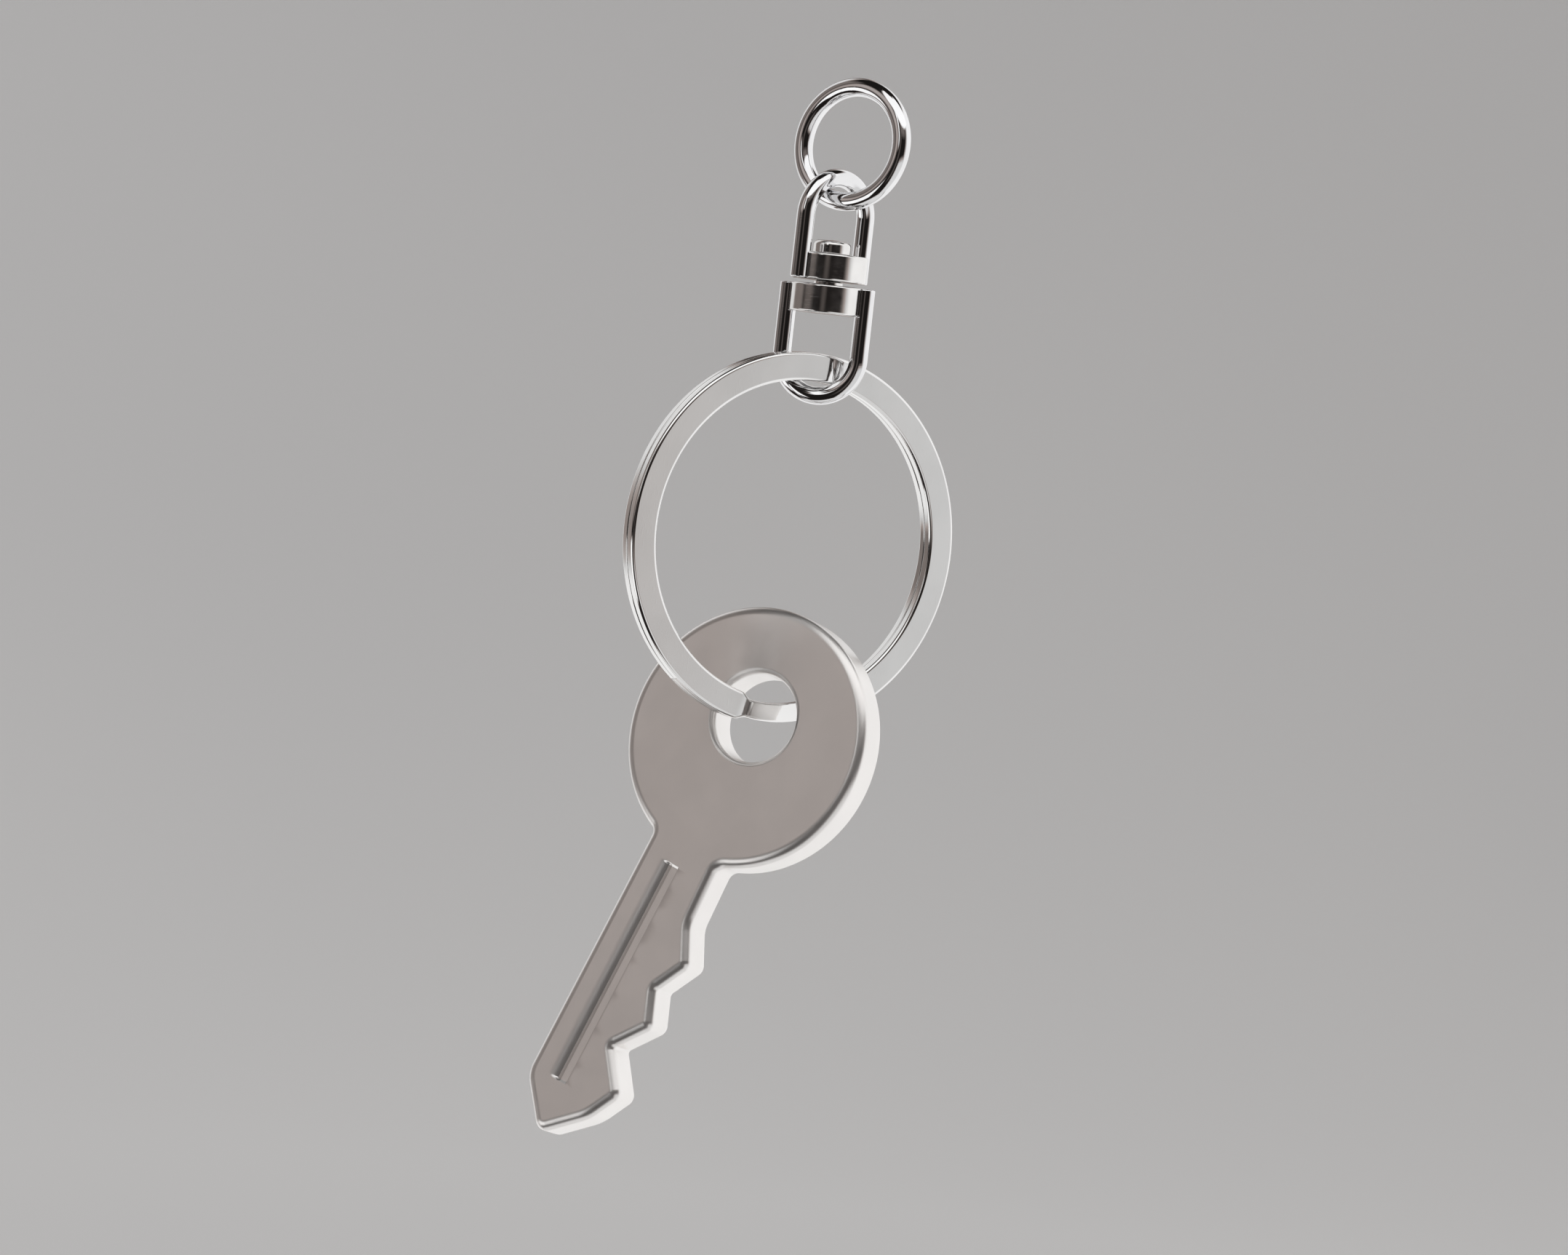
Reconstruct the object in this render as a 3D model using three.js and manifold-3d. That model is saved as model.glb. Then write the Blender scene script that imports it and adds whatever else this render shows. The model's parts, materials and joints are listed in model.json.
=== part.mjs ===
// Split key ring on a small swivel, with one key. Millimetres, +Z up, hanging from its top ring.
// The origin is the highest point of the top ring's hole, where a hook carries the whole chain.
// Every ring, loop and key is drawn flat in its own XY plane and then turned to face its way.

import * as THREE from "three";
import { mergeVertices } from "three/addons/utils/BufferGeometryUtils.js";
import Module from "manifold-3d";

const wasm = await Module();
wasm.setup();

// Top ring: a round-wire jump ring
const topRingRadius = 4.9;
const topRingWire = 1.6;
const topRingFacing = new THREE.Vector3(-0.904, -0.419, 0.072).normalize();
const topRingButtGap = 0.04;
const topRingButtPlace = THREE.MathUtils.degToRad(235);

// Swivel: two collars on one rivet, each with a wire loop let into its sides
const swivelAxis = new THREE.Vector2(-0.57, 0.73);
const collarDiameter = 6.3;
const collarGap = 0.34;
const upperCollarHeight = 2.3;
const lowerCollarHeight = 2.45;
const collarEdge = 0.25;
const loopWire = 1.55;
const loopWidth = 6.75;
const upperLoopReach = 8.95;
const lowerLoopReach = 9.6;
const upperLoopFacing = new THREE.Vector3(0.163, -0.987, 0);
const lowerLoopFacing = new THREE.Vector3(-0.719, -0.695, 0);
const legGap = 0.1;
const upperLoopOverRing = 1.96;

// Rivet: head over the upper collar, neck between the collars, tail fixed in the lower one
const rivetHead = 3.2;
const rivetHeadHeight = 1.15;
const rivetShank = 2.0;
const rivetNeck = 2.45;
const rivetTailDepth = 1.7;
const rivetDome = [[0.5, 0.6], [0.42, 0.85], [0.28, 0.96], [0, 1]];
const runningGap = 0.05;

// Split ring: flat wire coiled twice. It narrows where it crosses between turns, at the bottom.
const splitRingOuter = 32;
const splitRingWire = 2.4;
const splitRingTurn = 0.86;
const splitRingSeam = 0.06;
const splitRingEdge = 0.28;
const splitRingDrop = 22;
const splitRingShift = -0.96;
const crossingWire = 1.6;
const crossingTaper = THREE.MathUtils.degToRad(4);
const coilStart = THREE.MathUtils.degToRad(164.5);
const rampAngle = THREE.MathUtils.degToRad(30);

// Key: a round bow and a single-sided blade, thick and soft-edged
const keyThickness = 3.6;
const keyEdge = 0.6;
const bowRadius = 11.34;
const keyHoleRadius = 3.83;
const keyHoleRise = 1.8;
const keyHang = 0.88;
const keySlide = -0.25;
const bladeBack = -3.8;
const bladeNeck = 3.5;
const neckFlare = 0.9;
const keyFacing = new THREE.Vector3(-0.846, -0.492, 0.203);
const keyUp = new THREE.Vector3(0.321, -0.168, 0.932);
const grooveWidth = 2.1;
const grooveDepth = 0.5;
const grooveEdge = 0.3;
const grooveTop = -12.4;
const grooveBottom = -33.5;
const grooveCentre = -0.75;

const chrome = { color: 0xc9c9cb, metalness: 1, roughness: 0.08 };
const satin = { color: 0xa09790, metalness: 0.9, roughness: 0.42 };
const up = new THREE.Vector3(0, 0, 1);
const weldDistance = 1e-4;

function circle(radius) {
  return new THREE.Shape().absarc(0, 0, radius, 0, 2 * Math.PI);
}

// A corner list [x, y, rounding] becomes a path with a soft curve at each corner.
function roundedLine(path, corners) {
  corners.slice(1, -1).forEach(([x, y, rounding], index) => {
    const corner = new THREE.Vector2(x, y);
    const before = new THREE.Vector2(...corners[index]).sub(corner).setLength(rounding).add(corner);
    const after = new THREE.Vector2(...corners[index + 2]).sub(corner).setLength(rounding).add(corner);
    path.lineTo(before.x, before.y);
    path.quadraticCurveTo(x, y, after.x, after.y);
  });
}

function toSolid(geometry) {
  geometry.deleteAttribute("normal");
  geometry.deleteAttribute("uv");
  const merged = mergeVertices(geometry, weldDistance);
  return new wasm.Manifold(new wasm.Mesh({
    numProp: 3,
    vertProperties: new Float32Array(merged.getAttribute("position").array),
    triVerts: new Uint32Array(merged.index.array),
  }));
}

function toGeometry(solid) {
  const { vertProperties, triVerts } = solid.getMesh();
  const geometry = new THREE.BufferGeometry();
  geometry.setAttribute("position", new THREE.BufferAttribute(vertProperties, 3));
  geometry.setIndex(new THREE.BufferAttribute(triVerts, 1));
  geometry.computeVertexNormals();
  return geometry;
}

function cut(geometry, ...cutters) {
  return toGeometry(cutters.reduce((solid, cutter) => solid.subtract(toSolid(cutter)), toSolid(geometry)));
}

function piece(name, geometry, look) {
  const mesh = new THREE.Mesh(geometry, new THREE.MeshStandardMaterial(look));
  mesh.name = name;
  return mesh;
}

// Turns a mesh so that its own Z axis faces one way and its own Y axis points up.
function turn(object, facing, upwards = up) {
  const side = new THREE.Vector3().crossVectors(upwards, facing).normalize();
  const top = new THREE.Vector3().crossVectors(facing, side).normalize();
  object.quaternion.setFromRotationMatrix(new THREE.Matrix4().makeBasis(side, top, facing));
}

class Arc extends THREE.Curve {
  constructor(radius, start, sweep) {
    super();
    Object.assign(this, { radius, start, sweep });
  }

  getPoint(t, target = new THREE.Vector3()) {
    const angle = this.start + this.sweep * t;
    return target.set(this.radius * Math.cos(angle), this.radius * Math.sin(angle), 0);
  }
}

// A stirrup of wire: up one leg, round the bend and down the other leg.
class Stirrup extends THREE.Curve {
  constructor(legStart, reach) {
    super();
    Object.assign(this, { legStart, bendRadius: loopWidth / 2, bendHeight: reach - loopWidth / 2 });
  }

  getPoint(t, target = new THREE.Vector3()) {
    const { legStart, bendRadius, bendHeight } = this;
    const leg = bendHeight - legStart;
    const travelled = t * (2 * leg + Math.PI * bendRadius);
    if (travelled < leg) return target.set(-bendRadius, legStart + travelled, 0);
    const past = travelled - leg - Math.PI * bendRadius;
    if (past > 0) return target.set(bendRadius, bendHeight - past, 0);
    const angle = (travelled - leg) / bendRadius;
    return target.set(-bendRadius * Math.cos(angle), bendHeight + bendRadius * Math.sin(angle), 0);
  }
}

function topRing() {
  const butt = topRingButtGap / topRingRadius;
  const path = new Arc(topRingRadius, topRingButtPlace + butt / 2, 2 * Math.PI - butt);
  const wire = new THREE.ExtrudeGeometry(circle(topRingWire / 2), {
    steps: 48, curveSegments: 6, extrudePath: path,
  });
  return piece("top_ring", wire, chrome);
}

function loop(name, reach) {
  const wire = new THREE.ExtrudeGeometry(circle(loopWire / 2), {
    steps: 40, curveSegments: 6, extrudePath: new Stirrup(collarGap / 2, reach),
  });
  return piece(name, wire, chrome);
}

// Both collars are drawn standing on the gap between them; a blind bore stops short of the far end.
function collar(name, height, boreRadius, boreDepth) {
  const radius = collarDiameter / 2;
  const bottom = collarGap / 2;
  const top = bottom + height;
  const profile = [
    [boreRadius, bottom], [radius - collarEdge, bottom], [radius, bottom + collarEdge],
    [radius, top - collarEdge], [radius - collarEdge, top],
  ];
  const innerEnd = boreDepth < height
    ? [[0, top], [0, bottom + boreDepth], [boreRadius, bottom + boreDepth]]
    : [[boreRadius, top]];
  const outline = [...profile, ...innerEnd, profile[0]].map(([x, y]) => new THREE.Vector2(x, y));
  const legSlots = [-1, 1].map((side) => new THREE.CylinderGeometry(
    loopWire / 2 + legGap, loopWire / 2 + legGap, 4 * height, 24,
  ).translate(side * loopWidth / 2, 0, 0));
  return piece(name, cut(new THREE.LatheGeometry(outline, 48), ...legSlots), chrome);
}

function rivet() {
  const headBase = collarGap / 2 + upperCollarHeight + runningGap;
  const neckTop = collarGap / 2 - runningGap;
  const outline = [
    [0, -collarGap / 2 - rivetTailDepth], [rivetNeck / 2, -collarGap / 2 - rivetTailDepth],
    [rivetNeck / 2, neckTop], [rivetShank / 2, neckTop], [rivetShank / 2, headBase],
    [rivetHead / 2, headBase],
    ...rivetDome.map(([across, along]) => [across * rivetHead, headBase + along * rivetHeadHeight]),
  ].map(([x, y]) => new THREE.Vector2(x, y));
  return piece("swivel_rivet", new THREE.LatheGeometry(outline, 32), chrome);
}

// The coil starts as a straight strip whose length is its angle, and is then wound up, anticlockwise from
// the front.
function splitRing() {
  const halfWidth = splitRingWire / 2;
  const halfTurn = splitRingTurn / 2;
  const flat = halfWidth - splitRingEdge;
  const section = new THREE.Shape();
  section.moveTo(-flat, -halfTurn);
  roundedLine(section, [
    [-flat, -halfTurn], [halfWidth, -halfTurn, splitRingEdge], [halfWidth, halfTurn, splitRingEdge],
    [-halfWidth, halfTurn, splitRingEdge], [-halfWidth, -halfTurn, splitRingEdge], [-flat, -halfTurn],
  ]);
  const sweep = 4 * Math.PI - rampAngle;
  const strip = new THREE.ExtrudeGeometry(section, {
    depth: sweep, steps: 120, curveSegments: 2, bevelEnabled: false,
  });
  const meanRadius = (splitRingOuter - splitRingWire) / 2;
  const layer = (splitRingTurn + splitRingSeam) / 2;
  const points = strip.getAttribute("position");
  for (let i = 0; i < points.count; i += 1) {
    const turned = points.getZ(i);
    const rampStart = 2 * Math.PI - rampAngle;
    const ramp = THREE.MathUtils.smoothstep(turned, rampStart, 2 * Math.PI);
    const narrowing = THREE.MathUtils.smoothstep(turned, rampStart, rampStart + crossingTaper)
      * (1 - THREE.MathUtils.smoothstep(turned, 2 * Math.PI - crossingTaper, 2 * Math.PI));
    const width = THREE.MathUtils.lerp(1, crossingWire / splitRingWire, narrowing);
    const radius = meanRadius + width * points.getX(i);
    const angle = coilStart - turned;
    const height = layer * (1 - 2 * ramp) - points.getY(i);
    points.setXYZ(i, radius * Math.sin(angle), radius * Math.cos(angle), height);
  }
  return piece("split_ring", strip, chrome);
}

function keyOutline() {
  const onBow = (x) => [x, -Math.sqrt(bowRadius ** 2 - x ** 2)];
  const [rightX, rightY] = onBow(bladeNeck + neckFlare);
  const [leftX, leftY] = onBow(bladeBack - neckFlare);
  const outline = new THREE.Shape();
  outline.absarc(0, 0, bowRadius, Math.atan2(rightY, rightX), Math.atan2(leftY, leftX) + 2 * Math.PI);
  roundedLine(outline, [
    [leftX, leftY],
    [...onBow(bladeBack), 0.7],
    [bladeBack, -33.9, 1.6],
    [-0.1, -37.9, 1.4],
    [3.6, -34.8, 1.2],
    [5.4, -31.7, 1.3],
    [2.5, -28.4, 0.9],
    [5.1, -25.4, 1.2],
    [3.6, -22.4, 0.9],
    [5.5, -19.3, 1.2],
    [3.7, -16.2, 1.6],
    [...onBow(bladeNeck), 0.8],
    [rightX, rightY],
  ]);
  return outline;
}

// A cutter for either face: it stands on the groove's floor and sticks out of the face.
function groove() {
  const halfWidth = grooveWidth / 2;
  const endRadius = halfWidth - grooveEdge;
  const shape = new THREE.Shape();
  shape.absarc(grooveCentre, grooveTop - halfWidth, endRadius, 0, Math.PI);
  shape.absarc(grooveCentre, grooveBottom + halfWidth, endRadius, Math.PI, 2 * Math.PI);
  return new THREE.ExtrudeGeometry(shape, {
    depth: 2 * grooveDepth, curveSegments: 6,
    bevelThickness: grooveEdge, bevelSize: grooveEdge, bevelSegments: 2,
  }).translate(0, 0, keyThickness / 2 - grooveDepth + grooveEdge);
}

// The hole's centre is the key's own origin, because that is where it hangs.
function key() {
  const outline = keyOutline();
  outline.holes.push(new THREE.Path().absarc(0, keyHoleRise, keyHoleRadius, 0, 2 * Math.PI));
  const blank = new THREE.ExtrudeGeometry(outline, {
    depth: keyThickness - 2 * keyEdge, curveSegments: 14,
    bevelThickness: keyEdge, bevelSize: keyEdge, bevelOffset: -keyEdge, bevelSegments: 3,
  }).translate(0, 0, keyEdge - keyThickness / 2);
  const front = groove();
  const back = groove().rotateY(Math.PI).translate(2 * grooveCentre, 0, 0);
  return piece("key", cut(blank, front, back).translate(0, -keyHoleRise, 0), satin);
}

const keyRing = new THREE.Group();

// The top ring carries everything; the swivel hangs on its lowest point.
const topRingUp = up.clone().projectOnPlane(topRingFacing).normalize();
const top = topRing();
turn(top, topRingFacing);
top.position.copy(topRingUp).multiplyScalar(topRingWire / 2 - topRingRadius);
const topRingBottom = top.position.clone().addScaledVector(topRingUp, -topRingRadius);

const swivel = new THREE.Group();
swivel.position.set(swivelAxis.x, swivelAxis.y, topRingBottom.z + upperLoopOverRing - upperLoopReach);

const upperHalf = new THREE.Group();
upperHalf.add(
  loop("swivel_upper_loop", upperLoopReach),
  collar("swivel_upper_collar", upperCollarHeight, rivetShank / 2 + runningGap, upperCollarHeight),
);
turn(upperHalf, upperLoopFacing);

const lowerHalf = new THREE.Group();
const lowerBore = rivetTailDepth + legGap;
lowerHalf.add(
  loop("swivel_lower_loop", lowerLoopReach),
  collar("swivel_lower_collar", lowerCollarHeight, rivetNeck / 2 + runningGap, lowerBore),
);
turn(lowerHalf, lowerLoopFacing, up.clone().negate());

const rivetMesh = rivet();
rivetMesh.rotation.x = Math.PI / 2;

const ring = splitRing();
turn(ring, new THREE.Vector3(0, -1, 0));
ring.position.set(splitRingShift, 0, -splitRingDrop);
swivel.add(upperHalf, lowerHalf, rivetMesh, ring);

const keyMesh = key();
const ringBottom = ring.position.clone();
ringBottom.z -= (splitRingOuter - splitRingWire) / 2;
ringBottom.x += keySlide;
turn(keyMesh, keyFacing, keyUp);
keyMesh.position.copy(ringBottom).addScaledVector(keyUp, -keyHang);
swivel.add(keyMesh);

keyRing.add(top, swivel);

export default keyRing;
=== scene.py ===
"""Looks, light and camera for the split key ring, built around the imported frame.

Shapes are worked out in millimetres and scaled to metres once, when their mesh is made. A section or an
outline is a list of (x, y, normal x, normal y), so every surface carries its exact normals.
"""
import json
from math import atan2, cos, pi, radians, sin, sqrt, tan

import bpy
from mathutils import Matrix, Vector
from mathutils.geometry import delaunay_2d_cdt


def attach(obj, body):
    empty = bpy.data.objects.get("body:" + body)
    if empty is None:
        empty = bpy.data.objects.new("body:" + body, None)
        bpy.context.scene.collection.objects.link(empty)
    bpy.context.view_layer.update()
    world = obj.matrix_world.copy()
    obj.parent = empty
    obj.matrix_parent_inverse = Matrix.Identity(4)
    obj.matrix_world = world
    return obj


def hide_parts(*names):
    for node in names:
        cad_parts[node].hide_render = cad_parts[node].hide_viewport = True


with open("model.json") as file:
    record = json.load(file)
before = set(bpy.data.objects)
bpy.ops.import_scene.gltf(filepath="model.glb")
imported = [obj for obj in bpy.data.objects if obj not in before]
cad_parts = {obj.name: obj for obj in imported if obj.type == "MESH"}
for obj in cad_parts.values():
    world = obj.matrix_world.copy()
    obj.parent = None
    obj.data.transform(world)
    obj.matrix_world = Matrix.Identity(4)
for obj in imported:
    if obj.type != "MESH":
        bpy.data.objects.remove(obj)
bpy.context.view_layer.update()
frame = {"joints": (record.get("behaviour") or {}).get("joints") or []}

MM = 0.001
UP = Vector((0, 0, 1))
FULL_TURN = 2 * pi

# Top ring
TOP_RING_RADIUS = 4.9
TOP_RING_WIRE = 1.6
TOP_RING_FACING = Vector((-0.904, -0.419, 0.072)).normalized()
TOP_RING_BUTT_GAP = 0.04
TOP_RING_BUTT_PLACE = radians(235)
TOP_RING_STEPS = 240

# Swivel
COLLAR_DIAMETER = 6.3
COLLAR_GAP = 0.34
UPPER_COLLAR_HEIGHT = 2.3
LOWER_COLLAR_HEIGHT = 2.45
COLLAR_EDGE = 0.2
LOOP_WIRE = 1.55
LOOP_WIDTH = 6.75
UPPER_LOOP_REACH = 8.95
LOWER_LOOP_REACH = 9.6
UPPER_LOOP_FACING = Vector((0.163, -0.987, 0)).normalized()
LOWER_LOOP_FACING = Vector((-0.719, -0.695, 0)).normalized()
LEG_SETBACK = 0.04
WIRE_END_EDGE = 0.12
BEND_STEPS = 96

# Rivet
RIVET_HEAD = 3.2
RIVET_HEAD_HEIGHT = 1.15
RIVET_HEAD_EDGE = 0.42
RIVET_DIMPLE = 0.12
RIVET_SHANK = 2.0
RIVET_NECK = 2.45
RIVET_TAIL_DEPTH = 1.7
RIVET_CORNER_STEPS = 10
RUNNING_GAP = 0.05
SMALL_EDGE = 0.06

# Split ring
SPLIT_RING_OUTER = 32
SPLIT_RING_WIRE = 2.4
SPLIT_RING_TURN = 0.86
SPLIT_RING_SEAM = 0.06
COIL_MEAN = (SPLIT_RING_OUTER - SPLIT_RING_WIRE) / 2
FACE_EDGE = 0.28
SEAM_EDGE = 0.1
CROSSING_WIRE = 1.6
CROSSING_TAPER = radians(4)
COIL_START = radians(164.5)
RAMP_ANGLE = radians(30)
RAMP_START = FULL_TURN - RAMP_ANGLE
COIL_STEP = radians(0.75)
COIL_NUDGE = radians(0.05)
COIL_END_STEPS = 4
COIL_CORNER_STEPS = 5

# Key, drawn round the centre of its bow. A blade corner is (x, y, radius).
KEY_THICKNESS = 3.6
KEY_EDGE_WIDTH = 0.9
KEY_EDGE_DEPTH = 0.75
HOLE_EDGE_WIDTH = 0.55
HOLE_EDGE_DEPTH = 0.6
BOW_RADIUS = 11.34
KEY_HOLE_RADIUS = 3.83
KEY_HOLE_RISE = 1.8
KEY_HANG = 0.88
KEY_SLIDE = -0.25
BLADE_BACK = -3.8
BLADE_NECK = 3.5
LEFT_NECK_ROUNDING = 0.7
RIGHT_NECK_ROUNDING = 1.0
KEY_FACING = Vector((-0.846, -0.492, 0.203)).normalized()
KEY_UP = Vector((0.321, -0.168, 0.932))
BLADE_CORNERS = [
    (BLADE_BACK, -34.05, 2.6), (-0.2, -38.1, 1.1), (3.6, -34.8, 5.0), (5.35, -31.75, 0.95),
    (2.6, -28.43, 0.3), (5.05, -25.42, 0.95), (3.7, -22.42, 0.45), (5.47, -19.35, 0.95),
    (3.7, -16.2, 2.6),
]
BOW_STEPS = 180
NECK_STEPS = 10
BLADE_CORNER_STEPS = 9
KEY_HOLE_STEPS = 120
KEY_EDGE_STEPS = 8
GRID_SPACING = 1.1
GRID_CLEARANCE = 0.45
MERGE_DISTANCE = 1e-7

# Groove. Places on its section are shares of its width, and the steps are finer from the lip zone on.
GROOVE_WIDTH = 2.1
GROOVE_DEPTH = 0.24
GROOVE_TOP = -12.4
GROOVE_BOTTOM = -33.3
GROOVE_CENTRE = -0.75
GROOVE_END = 0.3
GROOVE_END_STEPS = 5
GROOVE_LENGTH_STEPS = 12
GROOVE_VALLEY = 0.5
GROOVE_VALLEY_POWER = 2.2
GROOVE_RISE = 0.18
GROOVE_SHELF = 0.4
GROOVE_LIP = 0.97
GROOVE_LIP_ZONE = 0.92
GROOVE_WIDTH_STEPS = 36
GROOVE_LIP_STEPS = 8
GROOVE_NUDGE = 1e-3

# Camera and surroundings
CAMERA_AZIMUTH = radians(-31.9)
CAMERA_ELEVATION = radians(2.3)
CAMERA_ROLL = radians(6.4)
CAMERA_DISTANCE = 500
CAMERA_LENS = 135.0
CAMERA_SENSOR = 36.0
CAMERA_REACH = 10000
AIM_LEFT = 0.50
AIM_DOWN = 7.47
FLOOR_HEIGHT = -300
ROOM_RADIUS = 2200
ROOM_HEIGHT = 1800
ROOM_CENTRE_GAP = 1.0
COVE_RADIUS = 700
COVE_STEPS = 24
BACKDROP_ROUGHNESS = 0.9
BACKDROP_LIGHT = (0.88, 0.88, 0.88, 1)
BACKDROP_DARK = (0.84, 0.84, 0.845, 1)
BACKDROP_CLOUD = 900

# Finish of the metals. A fade is the two noise levels between which a cloud or a scratch comes in.
CLOUD_FADE = (0.35, 0.65)
SCRATCH_FADE = (0.6, 0.75)
CLOUD_DETAIL = 3.0
HAZE_DETAIL = 4.0
HAZE_FINENESS = 3
SCRATCH_DETAIL = 1.0
FINE_DETAIL = 2.0


# ---------------------------------------------------------------- outlines and sections

def arc(centre, radius, start, end, steps):
    """Points of an arc with its outward normals. A negative radius is a hollow arc."""
    points = []
    for step in range(steps + 1):
        angle = start + (end - start) * step / steps
        normal = (cos(angle), sin(angle))
        points.append((centre[0] + radius * normal[0], centre[1] + radius * normal[1], *normal))
    return points


def rounded(corners, closed=True, steps=6):
    """An outline through (x, y, radius) corners, anticlockwise, with a true arc at each corner."""
    count = len(corners)
    points = []
    for index, (x, y, radius) in enumerate(corners):
        before = Vector(corners[index - 1][:2])
        after = Vector(corners[(index + 1) % count][:2])
        corner = Vector((x, y))
        if not closed and index in (0, count - 1):
            along = (after - corner if index == 0 else corner - before).normalized()
            points.append((x, y, along.y, -along.x))
            continue
        way_in = (corner - before).normalized()
        way_out = (after - corner).normalized()
        turn = atan2(way_in.cross(way_out), way_in.dot(way_out))
        side = 1 if turn > 0 else -1
        normal_in = Vector((way_in.y, -way_in.x))
        centre = corner - way_in * radius * tan(abs(turn) / 2) - normal_in * side * radius
        start = atan2(normal_in.y, normal_in.x)
        points += arc(centre, side * radius, start, start + turn, steps)
    return points


def circle(radius, steps=48):
    return arc((0, 0), radius, 0, FULL_TURN, steps)[:-1]


def inset(outline, distance):
    return [(x - distance * nx, y - distance * ny, nx, ny) for x, y, nx, ny in outline]


# ---------------------------------------------------------------- surfaces

def placement(facing, upwards, origin):
    """The matrix that turns local Z to facing and local Y upwards, and moves the origin."""
    side = upwards.cross(facing).normalized()
    top = facing.cross(side).normalized()
    turned = Matrix((side, top, facing)).transposed().to_4x4()
    return Matrix.Translation(origin) @ turned


def lift(outline, height, tilt=0.0):
    """A row of (point, normal) at one height. Tilt turns the normals from sideways towards +Z."""
    return [
        (Vector((x, y, height)), Vector((nx * cos(tilt), ny * cos(tilt), sin(tilt))))
        for x, y, nx, ny in outline
    ]


def sweep(stations, section, edge, steps=4):
    """Rows of a section carried along (origin, x axis, y axis) stations, with softly rounded ends."""
    rows = []
    for end in (0, -1):
        origin, across, along_y = stations[end]
        outwards = across.cross(along_y) * (-1 if end == 0 else 1)
        cap = []
        for step in range(steps):
            tilt = pi / 2 * step / steps
            ring = inset(section, edge * (1 - sin(tilt)))
            place = origin + outwards * edge * cos(tilt)
            cap.append([
                (place + across * x + along_y * y,
                 (across * nx + along_y * ny) * sin(tilt) + outwards * cos(tilt))
                for x, y, nx, ny in ring
            ])
        if end == 0:
            rows = cap + [
                [(place + across * x + along_y * y, across * nx + along_y * ny)
                 for x, y, nx, ny in section]
                for place, across, along_y in stations
            ]
        else:
            rows += cap[::-1]
    return rows


def lathe(profile, steps=96):
    """Rows round the Z axis from a profile of (radius, height, normal out, normal up)."""
    rows = []
    for radius, height, out, rise in profile:
        spokes = [Vector((cos(a), sin(a), 0)) for a in (FULL_TURN * k / steps for k in range(steps))]
        rows.append([(spoke * radius + UP * height, spoke * out + UP * rise) for spoke in spokes])
    return rows


class Skin:
    """The points, normals and faces of one closed surface."""

    def __init__(self):
        self.points, self.normals, self.faces = [], [], []

    def row(self, row):
        first = len(self.points)
        self.points += [point for point, _ in row]
        self.normals += [normal.normalized() for _, normal in row]
        return list(range(first, len(self.points)))

    def bridge(self, low, high, closed=True):
        count = len(low)
        for i in range(count if closed else count - 1):
            j = (i + 1) % count
            self.faces.append((low[i], low[j], high[j], high[i]))

    def shell(self, rows, ring=False):
        """Joins rows into a closed skin: round to the first row again, or with a cap at each end."""
        numbers = [self.row(row) for row in rows]
        for low, high in zip(numbers, numbers[1:]):
            self.bridge(low, high)
        if ring:
            self.bridge(numbers[-1], numbers[0])
        else:
            self.faces += [tuple(numbers[0]), tuple(numbers[-1])]
        return self

    def make(self, name, matrix=Matrix.Identity(4)):
        """The finished object, in metres. Faces are turned to agree with their normals."""
        faces = []
        for face in self.faces:
            a, b, c = (self.points[face[k]] for k in (0, len(face) // 3, 2 * len(face) // 3))
            outwards = sum((self.normals[k] for k in face), Vector())
            faces.append(face if (b - a).cross(c - a).dot(outwards) > 0 else face[::-1])
        mesh = bpy.data.meshes.new(name)
        mesh.from_pydata([matrix @ point * MM for point in self.points], [], faces)
        turned = matrix.to_3x3()
        mesh.shade_smooth()
        mesh.normals_split_custom_set_from_vertices([turned @ normal for normal in self.normals])
        mesh.validate()
        thing = bpy.data.objects.new(name, mesh)
        bpy.context.scene.collection.objects.link(thing)
        return thing


def fit(thing, node, body, slot):
    """Gives a finished piece the material named by slot, puts it under its body and hides the CAD node that
    it stands for.
    """
    thing.data.materials.append(materials[slot])
    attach(thing, body)
    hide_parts(node)


# ---------------------------------------------------------------- materials

def noise(tree, coordinates, grain, detail=FINE_DETAIL, stretch=(1, 1, 1)):
    """A noise texture whose grain is in millimetres."""
    mapping = tree.nodes.new("ShaderNodeMapping")
    mapping.inputs["Scale"].default_value = stretch
    texture = tree.nodes.new("ShaderNodeTexNoise")
    texture.inputs["Scale"].default_value = 1 / (grain * MM)
    texture.inputs["Detail"].default_value = detail
    tree.links.new(coordinates, mapping.inputs["Vector"])
    tree.links.new(mapping.outputs["Vector"], texture.inputs["Vector"])
    return texture.outputs["Fac"]


def spread(tree, value, low, high, fade=CLOUD_FADE):
    """Maps a noise value smoothly onto low to high."""
    ranged = tree.nodes.new("ShaderNodeMapRange")
    ranged.interpolation_type = "SMOOTHSTEP"
    ranged.inputs["From Min"].default_value, ranged.inputs["From Max"].default_value = fade
    ranged.inputs["To Min"].default_value = low
    ranged.inputs["To Max"].default_value = high
    tree.links.new(value, ranged.inputs["Value"])
    return ranged.outputs["Result"]


def bump(tree, height, depth, below=None):
    """Relief from a height value; depth is in millimetres."""
    relief = tree.nodes.new("ShaderNodeBump")
    relief.inputs["Strength"].default_value = 1.0
    relief.inputs["Distance"].default_value = depth * MM
    tree.links.new(height, relief.inputs["Height"])
    if below is not None:
        tree.links.new(below, relief.inputs["Normal"])
    return relief.outputs["Normal"]


def colour_mix(tree, factor, first, second, socket):
    """Feeds a colour input with a mix of two colours."""
    tint = tree.nodes.new("ShaderNodeMix")
    tint.data_type = "RGBA"
    tint.inputs["A"].default_value = first
    tint.inputs["B"].default_value = second
    tree.links.new(factor, tint.inputs["Factor"])
    tree.links.new(tint.outputs["Result"], socket)


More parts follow.
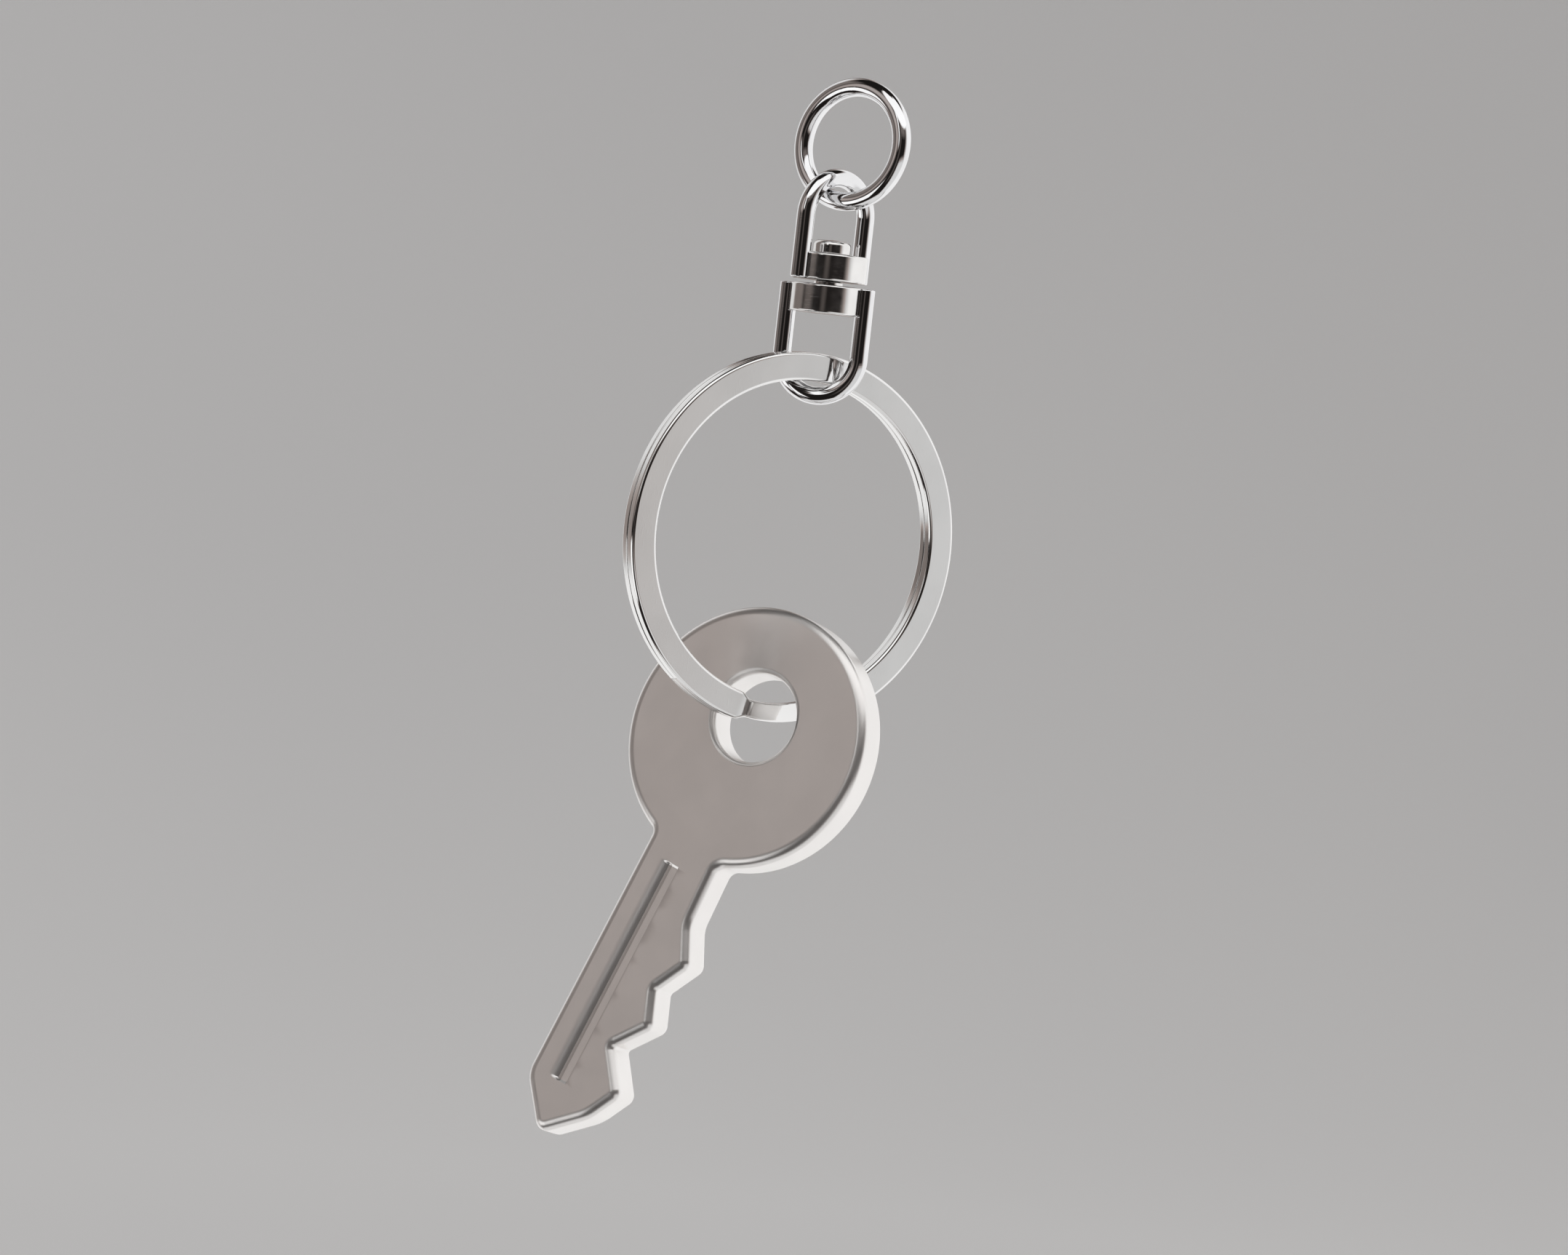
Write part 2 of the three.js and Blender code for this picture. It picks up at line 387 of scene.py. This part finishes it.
def new_material(name):
    """A new material with its node tree, its shader and its object coordinates."""
    material = bpy.data.materials.new(name)
    material.use_nodes = True
    tree = material.node_tree
    coordinates = tree.nodes.new("ShaderNodeTexCoord").outputs["Object"]
    return material, tree, tree.nodes["Principled BSDF"], coordinates


def metal(
    name, light, dark, smooth, dull, cloud, grain, relief, scratch_stretch, scratch_relief, metallic=1.0,
):
    """A metal whose colour and roughness drift in soft clouds, under a fine relief and faint scratches."""
    material, tree, shader, coordinates = new_material(name)
    shader.inputs["Metallic"].default_value = metallic
    clouds = noise(tree, coordinates, cloud, detail=CLOUD_DETAIL)
    colour_mix(
        tree, spread(tree, clouds, 0.0, 1.0), (*light, 1), (*dark, 1), shader.inputs["Base Color"])
    haze = noise(tree, coordinates, cloud / HAZE_FINENESS, detail=HAZE_DETAIL)
    tree.links.new(spread(tree, haze, smooth, dull), shader.inputs["Roughness"])
    scratches = noise(tree, coordinates, grain, detail=SCRATCH_DETAIL, stretch=scratch_stretch)
    scratched = bump(tree, spread(tree, scratches, 0.0, 1.0, SCRATCH_FADE), scratch_relief)
    fine = noise(tree, coordinates, grain)
    tree.links.new(bump(tree, fine, relief, below=scratched), shader.inputs["Normal"])
    return material


materials = {
    "chromed_wire": metal(
        "chromed_wire", (0.86, 0.86, 0.87), (0.80, 0.80, 0.81), 0.03, 0.07,
        cloud=4, grain=0.6, relief=0.0004, scratch_stretch=(1, 1, 6), scratch_relief=0.0005,
    ),
    "chromed_swivel": metal(
        "chromed_swivel", (0.86, 0.85, 0.84), (0.80, 0.79, 0.78), 0.12, 0.16,
        cloud=3, grain=0.5, relief=0.0006, scratch_stretch=(0.4, 0.4, 8), scratch_relief=0.0008,
    ),
    "chromed_flat_ring": metal(
        "chromed_flat_ring", (0.86, 0.857, 0.853), (0.82, 0.817, 0.813), 0.05, 0.10,
        cloud=6, grain=0.7, relief=0.0004, scratch_stretch=(6, 1, 1), scratch_relief=0.0004,
    ),
    "satin_key": metal(
        "satin_key", (0.895, 0.875, 0.86), (0.865, 0.845, 0.83), 0.285, 0.315,
        cloud=6, grain=0.16, relief=0.0003, scratch_stretch=(1, 1, 1), scratch_relief=0.00005, metallic=0.88,
    ),
}


# ---------------------------------------------------------------- places, from the frame's joints

joints = {joint["name"]: Vector(joint["pos_m"]) / MM for joint in frame["joints"]}
swivel_centre = joints["swivel_spin"]
ring_centre = joints["split_ring_turn"]
ring_bottom = joints["key_swing"]


# ---------------------------------------------------------------- top ring

def top_ring():
    """A round-wire jump ring, its butt joint tucked under the swivel's loop."""
    top = UP - TOP_RING_FACING * UP.dot(TOP_RING_FACING)
    centre = top.normalized() * (TOP_RING_WIRE / 2 - TOP_RING_RADIUS)
    opening = (TOP_RING_BUTT_GAP + 2 * SMALL_EDGE) / TOP_RING_RADIUS
    start = TOP_RING_BUTT_PLACE + opening / 2
    stations = []
    for step in range(TOP_RING_STEPS + 1):
        angle = start + (FULL_TURN - opening) * step / TOP_RING_STEPS
        outwards = Vector((cos(angle), sin(angle), 0))
        stations.append((outwards * TOP_RING_RADIUS, UP, outwards))
    rows = sweep(stations, circle(TOP_RING_WIRE / 2), SMALL_EDGE)
    ring = Skin().shell(rows).make("top_ring_wire", placement(TOP_RING_FACING, UP, centre))
    fit(ring, "top_ring", "top_ring", "chromed_wire")


# ---------------------------------------------------------------- swivel

def stirrup(name, node, body, reach, matrix):
    """A wire loop: along one leg, round the bend and back along the other leg."""
    bend_radius = LOOP_WIDTH / 2
    bend_height = reach - bend_radius
    leg_start = COLLAR_GAP / 2 + LEG_SETBACK + WIRE_END_EDGE
    spokes = [Vector((-cos(a), sin(a), 0)) for a in (pi * k / BEND_STEPS for k in range(BEND_STEPS + 1))]
    bend = [(spoke * bend_radius + Vector((0, bend_height, 0)), -UP, spoke) for spoke in spokes]
    first = (Vector((-bend_radius, leg_start, 0)), -UP, Vector((-1, 0, 0)))
    last = (Vector((bend_radius, leg_start, 0)), -UP, Vector((1, 0, 0)))
    rows = sweep([first, *bend, last], circle(LOOP_WIRE / 2), WIRE_END_EDGE)
    wire = Skin().shell(rows).make(name, matrix)
    fit(wire, node, body, "chromed_wire")


def upper_collar():
    """A turned barrel with a bore that the rivet's shank runs through."""
    radius, bore = COLLAR_DIAMETER / 2, RIVET_SHANK / 2 + RUNNING_GAP
    bottom = COLLAR_GAP / 2
    top = bottom + UPPER_COLLAR_HEIGHT
    profile = rounded([
        (bore, bottom, SMALL_EDGE), (radius, bottom, COLLAR_EDGE),
        (radius, top, COLLAR_EDGE), (bore, top, SMALL_EDGE),
    ])
    barrel = Skin().shell(lathe(profile), ring=True)
    thing = barrel.make("swivel_upper_barrel", Matrix.Translation(swivel_centre))
    fit(thing, "swivel_upper_collar", "swivel_upper", "chromed_swivel")


def lower_collar():
    """A turned barrel, closed below, with a blind bore that holds the rivet's tail."""
    radius, bore = COLLAR_DIAMETER / 2, RIVET_NECK / 2 + RUNNING_GAP
    top = -COLLAR_GAP / 2
    bottom = top - LOWER_COLLAR_HEIGHT
    bore_end = top - RIVET_TAIL_DEPTH - RUNNING_GAP
    axis = SMALL_EDGE / 2
    profile = rounded([
        (axis, bottom, 0), (radius, bottom, COLLAR_EDGE), (radius, top, COLLAR_EDGE),
        (bore, top, SMALL_EDGE), (bore, bore_end, SMALL_EDGE), (axis, bore_end, 0),
    ], closed=False)
    barrel = Skin().shell(lathe(profile))
    thing = barrel.make("swivel_lower_barrel", Matrix.Translation(swivel_centre))
    fit(thing, "swivel_lower_collar", "swivel_lower", "chromed_swivel")


def rivet():
    """A rivet with a soft round head, a shank in the upper barrel and a neck held by the lower one."""
    tail = -COLLAR_GAP / 2 - RIVET_TAIL_DEPTH
    neck_top = COLLAR_GAP / 2 - RUNNING_GAP
    head_base = COLLAR_GAP / 2 + UPPER_COLLAR_HEIGHT + RUNNING_GAP
    head_top = head_base + RIVET_HEAD_HEIGHT
    axis = SMALL_EDGE / 2
    profile = rounded([
        (axis, tail, 0), (RIVET_NECK / 2, tail, SMALL_EDGE), (RIVET_NECK / 2, neck_top, SMALL_EDGE),
        (RIVET_SHANK / 2, neck_top, SMALL_EDGE), (RIVET_SHANK / 2, head_base, SMALL_EDGE),
        (RIVET_HEAD / 2, head_base, SMALL_EDGE), (RIVET_HEAD / 2, head_top - RIVET_DIMPLE, RIVET_HEAD_EDGE),
        (axis, head_top, 0),
    ], closed=False, steps=RIVET_CORNER_STEPS)
    thing = Skin().shell(lathe(profile)).make("swivel_pin", Matrix.Translation(swivel_centre))
    fit(thing, "swivel_rivet", "swivel_lower", "chromed_swivel")


# ---------------------------------------------------------------- split ring

def smooth_step(value, start, end):
    t = min(1.0, max(0.0, (value - start) / (end - start)))
    return t * t * (3 - 2 * t)


def coil_height(turned):
    """Height of the wire's middle: the front turn, the crossing and then the back turn."""
    layer = (SPLIT_RING_TURN + SPLIT_RING_SEAM) / 2
    return layer * (1 - 2 * smooth_step(turned, RAMP_START, FULL_TURN))


def coil_width(turned):
    """Width of the wire, which is narrower where it crosses."""
    narrowing = smooth_step(turned, RAMP_START, RAMP_START + CROSSING_TAPER)
    narrowing *= 1 - smooth_step(turned, FULL_TURN - CROSSING_TAPER, FULL_TURN)
    return SPLIT_RING_WIRE + (CROSSING_WIRE - SPLIT_RING_WIRE) * narrowing


def coil_row(turned, shrink=0.0, tilt=0.0, way=0):
    """One section of the coil. Shrink, tilt and way shape the rounded ends."""
    angle = COIL_START - turned
    outwards = Vector((sin(angle), cos(angle), 0))
    forward = Vector((-cos(angle), sin(angle), 0))
    before, after, arc_length = turned - COIL_NUDGE, turned + COIL_NUDGE, 2 * COIL_NUDGE * COIL_MEAN
    slope = (coil_height(after) - coil_height(before)) / arc_length
    flare = (coil_width(after) - coil_width(before)) / (2 * arc_length)
    crossed = smooth_step(turned, RAMP_START, FULL_TURN)
    front = FACE_EDGE + (SEAM_EDGE - FACE_EDGE) * crossed
    rear = SEAM_EDGE + (FACE_EDGE - SEAM_EDGE) * crossed
    half_width, half_turn = coil_width(turned) / 2, SPLIT_RING_TURN / 2
    section = rounded([
        (-half_width, -half_turn, rear), (half_width, -half_turn, rear),
        (half_width, half_turn, front), (-half_width, half_turn, front),
    ], steps=COIL_CORNER_STEPS)
    place = outwards * COIL_MEAN + UP * coil_height(turned)
    row = []
    for x, y, nx, ny in inset(section, shrink):
        side = outwards - forward * flare * (1 if x > 0 else -1)
        face = UP - forward * slope
        normal = (side * nx + face * ny) * cos(tilt) + forward * way * sin(tilt)
        row.append((place + outwards * x + UP * y, normal))
    return row


def split_ring():
    """Flat wire coiled just under twice, ending square with rounded edges."""
    sweep_angle = 2 * FULL_TURN - RAMP_ANGLE
    edge_angle = SMALL_EDGE / COIL_MEAN
    tilts = [pi / 2 * k / COIL_END_STEPS for k in range(COIL_END_STEPS, 0, -1)]
    first = [
        coil_row(edge_angle * (1 - sin(t)), SMALL_EDGE * (1 - cos(t)), t, -1) for t in tilts
    ]
    last = [
        coil_row(sweep_angle - edge_angle * (1 - sin(t)), SMALL_EDGE * (1 - cos(t)), t, 1)
        for t in reversed(tilts)
    ]
    steps = round((sweep_angle - 2 * edge_angle) / COIL_STEP)
    middle = [
        coil_row(edge_angle + (sweep_angle - 2 * edge_angle) * k / steps) for k in range(steps + 1)
    ]
    coil = Skin().shell([*first, *middle, *last])
    thing = coil.make("flat_split_ring", placement(Vector((0, -1, 0)), UP, ring_centre))
    fit(thing, "split_ring", "split_ring", "chromed_flat_ring")


# ---------------------------------------------------------------- key

def key_outline():
    """The key's edge, anticlockwise from its right neck, with the bow's centre as the origin."""
    right_height = -sqrt((BOW_RADIUS + RIGHT_NECK_ROUNDING) ** 2 - (BLADE_NECK + RIGHT_NECK_ROUNDING) ** 2)
    left_height = -sqrt((BOW_RADIUS + LEFT_NECK_ROUNDING) ** 2 - (BLADE_BACK - LEFT_NECK_ROUNDING) ** 2)
    right = Vector((BLADE_NECK + RIGHT_NECK_ROUNDING, right_height))
    left = Vector((BLADE_BACK - LEFT_NECK_ROUNDING, left_height))
    right_angle = atan2(right.y, right.x)
    left_angle = atan2(left.y, left.x) + FULL_TURN
    bow = arc((0, 0), BOW_RADIUS, right_angle, left_angle, BOW_STEPS)
    left_neck = arc(left, -LEFT_NECK_ROUNDING, left_angle, pi, NECK_STEPS)
    right_neck = arc(right, -RIGHT_NECK_ROUNDING, 0, right_angle, NECK_STEPS)
    corners = [(BLADE_BACK, left_height, 0), *BLADE_CORNERS, (BLADE_NECK, right_height, 0)]
    blade = rounded(corners, closed=False, steps=BLADE_CORNER_STEPS)[1:-1]
    return bow[:-1] + left_neck + blade + right_neck[:-1]


def rounded_wall(outline, width, depth):
    """Rows from the front face over a rounded edge, down the wall and over the back edge."""
    front, back = [], []
    for step in range(KEY_EDGE_STEPS + 1):
        lean = pi / 2 * step / KEY_EDGE_STEPS
        ring = inset(outline, width * (1 - sin(lean)))
        height = KEY_THICKNESS / 2 - depth * (1 - cos(lean))
        tilt = atan2(cos(lean) / depth, sin(lean) / width)
        front.append(lift(ring, height, tilt))
        back.append(lift(ring, -height, -tilt))
    return front + back[::-1]


def groove_shape(across):
    """Depth over the groove's width, 0 to 1: an ever steeper slope, a rise, a shelf and a small step."""
    if across < GROOVE_VALLEY:
        return (across / GROOVE_VALLEY) ** GROOVE_VALLEY_POWER
    rise = (1 - GROOVE_SHELF) * smooth_step(across, GROOVE_VALLEY, GROOVE_VALLEY + GROOVE_RISE)
    return (1 - rise) * (1 - smooth_step(across, GROOVE_LIP, 1.0))


def groove_rows():
    """A grid of (point, normal) rows over the groove, its outer rim level with the face."""
    length = GROOVE_TOP - GROOVE_BOTTOM
    across = [GROOVE_LIP_ZONE * k / GROOVE_WIDTH_STEPS for k in range(GROOVE_WIDTH_STEPS)]
    across += [
        GROOVE_LIP_ZONE + (1 - GROOVE_LIP_ZONE) * k / GROOVE_LIP_STEPS
        for k in range(GROOVE_LIP_STEPS + 1)
    ]
    end = [GROOVE_END * k / GROOVE_END_STEPS for k in range(GROOVE_END_STEPS + 1)]
    straight = length - 2 * GROOVE_END
    middle = [
        GROOVE_END + straight * k / GROOVE_LENGTH_STEPS for k in range(1, GROOVE_LENGTH_STEPS)
    ]
    along = end + middle + [length - place for place in reversed(end)]

    def depth(share, place):
        ramp = smooth_step(min(place, length - place), 0.0, GROOVE_END)
        return GROOVE_DEPTH * groove_shape(share) * ramp

    rows = []
    for place in along:
        row = []
        for share in across:
            low, high = max(0.0, share - GROOVE_NUDGE), min(1.0, share + GROOVE_NUDGE)
            slope_x = (depth(high, place) - depth(low, place)) / ((high - low) * GROOVE_WIDTH)
            behind, ahead = max(0.0, place - GROOVE_NUDGE), min(length, place + GROOVE_NUDGE)
            slope_y = (depth(share, ahead) - depth(share, behind)) / (ahead - behind)
            x = GROOVE_CENTRE + (share - 0.5) * GROOVE_WIDTH
            height = KEY_THICKNESS / 2 - depth(share, place)
            row.append((Vector((x, GROOVE_BOTTOM + place, height)), Vector((slope_x, slope_y, 1))))
        rows.append(row)
    return rows


def inside(point, loop):
    """True if a point lies inside a loop of points."""
    hit = False
    for a, b in zip(loop, loop[1:] + loop[:1]):
        if (a.y > point.y) != (b.y > point.y):
            hit ^= point.x < a.x + (point.y - a.y) * (b.x - a.x) / (b.y - a.y)
    return hit


def fill_face(skin, loops, height):
    """Fills the flat face inside the first loop and outside the others, with a grid of extra points."""
    rims = [[skin.points[k].xy for k in loop] for loop in loops]
    numbers = [k for loop in loops for k in loop]
    points = [point for rim in rims for point in rim]
    edges, first = [], 0
    for rim in rims:
        edges += [(first + k, first + (k + 1) % len(rim)) for k in range(len(rim))]
        first += len(rim)
    low = Vector((min(p.x for p in rims[0]), min(p.y for p in rims[0])))
    high = Vector((max(p.x for p in rims[0]), max(p.y for p in rims[0])))
    spare = []
    for i in range(1, int((high.x - low.x) / GRID_SPACING) + 1):
        for j in range(1, int((high.y - low.y) / GRID_SPACING) + 1):
            spot = low + Vector((i, j)) * GRID_SPACING
            if inside(spot, rims[0]) and not any(inside(spot, rim) for rim in rims[1:]):
                if min((spot - point).length for point in points) > GRID_CLEARANCE:
                    spare.append(spot)
    numbers += skin.row([(spot.to_3d() + UP * height, UP * height) for spot in spare])
    made, _, triangles, origins, _, _ = delaunay_2d_cdt(points + spare, edges, [], 0, MERGE_DISTANCE)
    for triangle in triangles:
        middle = sum((made[k] for k in triangle), Vector((0, 0))) / 3
        if inside(middle, rims[0]) and not any(inside(middle, rim) for rim in rims[1:]):
            skin.faces.append(tuple(numbers[origins[k][0]] for k in triangle))


def key():
    """A thick soft-edged key with a round hole and a long groove on both faces."""
    skin = Skin()
    edge = [skin.row(row) for row in rounded_wall(key_outline(), KEY_EDGE_WIDTH, KEY_EDGE_DEPTH)]
    hole_outline = [
        (x, y + KEY_HOLE_RISE, -nx, -ny) for x, y, nx, ny in circle(KEY_HOLE_RADIUS, KEY_HOLE_STEPS)
    ]
    hole = [skin.row(row) for row in rounded_wall(hole_outline, HOLE_EDGE_WIDTH, HOLE_EDGE_DEPTH)]
    for wall in (edge, hole):
        for low, high in zip(wall, wall[1:]):
            skin.bridge(low, high)
    flip = Vector((1, 1, -1))
    for side, edge_rim, hole_rim in ((1, edge[0], hole[0]), (-1, edge[-1], hole[-1])):
        rows = groove_rows()
        if side < 0:
            rows = [[(point * flip, normal * flip) for point, normal in row] for row in rows]
        grid = [skin.row(row) for row in rows]
        for low, high in zip(grid, grid[1:]):
            skin.bridge(low, high, closed=False)
        right = [row[-1] for row in grid[1:-1]]
        left = [row[0] for row in grid[1:-1]]
        groove_rim = grid[0] + right + grid[-1][::-1] + left[::-1]
        fill_face(skin, [edge_rim, hole_rim, groove_rim], side * KEY_THICKNESS / 2)
    place = ring_bottom + Vector((KEY_SLIDE, 0, 0)) - KEY_UP * KEY_HANG
    to_hole = Matrix.Translation((0, -KEY_HOLE_RISE, 0))
    thing = skin.make("cut_key", placement(KEY_FACING, KEY_UP, place) @ to_hole)
    fit(thing, "key", "key", "satin_key")


# ---------------------------------------------------------------- camera, room and light

def camera():
    turned = (
        Matrix.Rotation(CAMERA_AZIMUTH, 4, "Z")
        @ Matrix.Rotation(pi / 2 - CAMERA_ELEVATION, 4, "X")
        @ Matrix.Rotation(CAMERA_ROLL, 4, "Z")
    )
    right, top, back = (turned.col[k].to_3d() for k in range(3))
    data = bpy.data.cameras.new("camera")
    data.lens = CAMERA_LENS
    data.sensor_width = CAMERA_SENSOR
    data.clip_end = CAMERA_REACH * MM
    place = ring_centre - right * AIM_LEFT - top * AIM_DOWN + back * CAMERA_DISTANCE
    thing = bpy.data.objects.new("camera", data)
    thing.matrix_world = Matrix.Translation(place * MM) @ turned
    bpy.context.scene.collection.objects.link(thing)
    bpy.context.scene.camera = thing


def room():
    """A pale floor that curves up into a round wall. Only the camera sees it, so it blocks no light."""
    ceiling = FLOOR_HEIGHT + ROOM_HEIGHT
    profile = rounded([
        (ROOM_CENTRE_GAP, FLOOR_HEIGHT, 0), (ROOM_RADIUS, FLOOR_HEIGHT, COVE_RADIUS),
        (ROOM_RADIUS, ceiling, COVE_RADIUS), (ROOM_CENTRE_GAP, ceiling, 0),
    ], closed=False, steps=COVE_STEPS)
    inwards = [(radius, height, -out, -rise) for radius, height, out, rise in profile]
    thing = Skin().shell(lathe(inwards)).make("pale_room")
    material, tree, shader, coordinates = new_material("pale_backdrop")
    shader.inputs["Roughness"].default_value = BACKDROP_ROUGHNESS
    shader.inputs["Specular IOR Level"].default_value = 0.0
    clouds = spread(tree, noise(tree, coordinates, BACKDROP_CLOUD), 0.0, 1.0)
    colour_mix(tree, clouds, BACKDROP_LIGHT, BACKDROP_DARK, shader.inputs["Base Color"])
    thing.data.materials.append(material)
    thing.visible_shadow = False
    thing.visible_diffuse = False
    thing.visible_glossy = False


# Soft panels of light: azimuth from the camera's side, elevation, half width, half height, softness
# sideways, softness up and down (all in degrees) and brightness.
PANELS = {
    "right": (118, -5, 57, 55, 38, 10, 1.0),
    "behind low": (180, -36, 75, 24, 20, 16, 0.95),
    "behind left": (-143, 0, 24, 50, 14, 20, 0.8),
    "left back": (-105, 5, 25, 45, 15, 15, 0.2),
    "left low softbox": (-66, -22, 29, 14, 5, 5, 1.15),
    "upper front softbox": (20, 55, 68, 22, 6, 6, 1.15),
    "floor": (0, -80, 180, 20, 10, 10, 0.8),
    "right floor": (42, -38, 30, 30, 14, 14, 0.75),
    "front glow": (-10, 0, 7, 25, 14, 12, 0.09),
    "left glow": (-60, 20, 14, 16, 18, 18, 0.46),
    "upper left strip": (-32, 23, 5, 12, 5, 8, 1.15),
    "front above": (14, 30, 27, 8, 10, 12, 0.16),
}
DARK_ROOM = 0.012

# Light up to TINT_START has the warm dim tint. It turns pale as it gets brighter, at the rate TINT_FADE.
DIM_TINT = (1.0, 0.86, 0.80, 1)
BRIGHT_TINT = (1.0, 0.996, 0.992, 1)
TINT_START = 0.39
TINT_FADE = 4.4


def light():
    """Soft studio light: pale panels with dark gaps between them, which the chrome shows as bands."""
    world = bpy.data.worlds.new("studio")
    bpy.context.scene.world = world
    world.use_nodes = True
    tree = world.node_tree
    nodes, links = tree.nodes, tree.links

    def calculate(operation, first, second=0.0):
        node = nodes.new("ShaderNodeMath")
        node.operation = operation
        for socket, value in zip(node.inputs, (first, second)):
            if isinstance(value, (int, float)):
                socket.default_value = value
            else:
                links.new(value, socket)
        return node.outputs[0]

    def fade(value, half, softness):
        ranged = nodes.new("ShaderNodeMapRange")
        ranged.interpolation_type = "SMOOTHSTEP"
        ranged.inputs["From Min"].default_value = radians(half + softness / 2)
        ranged.inputs["From Max"].default_value = radians(half - softness / 2)
        links.new(value, ranged.inputs["Value"])
        return ranged.outputs["Result"]

    direction = nodes.new("ShaderNodeTexCoord").outputs["Generated"]
    total = DARK_ROOM
    for azimuth, elevation, half_width, half_height, soft_sides, soft_ends, brightness in PANELS.values():
        spin = nodes.new("ShaderNodeVectorRotate")
        spin.rotation_type = "Z_AXIS"
        spin.inputs["Angle"].default_value = pi / 2 - CAMERA_AZIMUTH - radians(azimuth)
        links.new(direction, spin.inputs["Vector"])
        parts = nodes.new("ShaderNodeSeparateXYZ")
        links.new(spin.outputs["Vector"], parts.inputs["Vector"])
        around = calculate("ABSOLUTE", calculate("ARCTAN2", parts.outputs["Y"], parts.outputs["X"]))
        above = calculate("ABSOLUTE", calculate(
            "SUBTRACT", calculate("ARCSINE", parts.outputs["Z"]), radians(elevation)))
        panel = calculate(
            "MULTIPLY", fade(around, half_width, soft_sides), fade(above, half_height, soft_ends))
        total = calculate("MAXIMUM", calculate("MULTIPLY", panel, brightness), total)
    background = nodes["Background"]
    brightening = calculate("MULTIPLY", calculate("SUBTRACT", total, TINT_START), TINT_FADE)
    colour_mix(tree, brightening, DIM_TINT, BRIGHT_TINT, background.inputs["Color"])
    links.new(total, background.inputs["Strength"])


top_ring()
stirrup(
    "swivel_upper_stirrup", "swivel_upper_loop", "swivel_upper", UPPER_LOOP_REACH,
    placement(UPPER_LOOP_FACING, UP, swivel_centre),
)
upper_collar()
rivet()
lower_collar()
stirrup(
    "swivel_lower_stirrup", "swivel_lower_loop", "swivel_lower", LOWER_LOOP_REACH,
    placement(LOWER_LOOP_FACING, -UP, swivel_centre),
)
split_ring()
key()
camera()
room()
light()
bpy.context.scene.view_settings.view_transform = "Standard"
